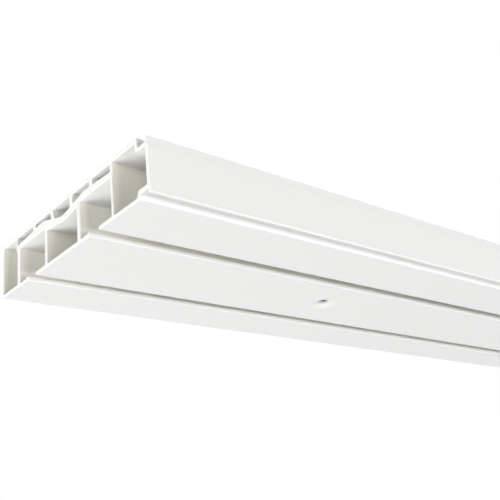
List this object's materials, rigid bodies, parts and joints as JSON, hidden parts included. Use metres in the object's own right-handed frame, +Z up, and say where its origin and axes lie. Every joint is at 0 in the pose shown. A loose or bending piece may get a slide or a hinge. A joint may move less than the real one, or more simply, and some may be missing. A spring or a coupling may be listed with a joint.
{
  "type": "curtain track",
  "caption": "Flat white plastic ceiling curtain track: a hollow extrusion with glider channels that open through slots in its underside, a plain fascia and dimpled screw seats.",
  "frame": {"origin": "Middle of the flat top that lies on the ceiling, halfway along the track and halfway between the fascia's outer face and the back.", "axes": "+X along the track, -Y towards the room on the fascia's side, +Z up to the ceiling."},
  "size_m": [1.2, 0.08, 0.017],
  "materials": {
    "white_plastic": "satin"
  },
  "bodies": {
    "root": {"track_profile": "white_plastic"}
  },
  "joints": []
}
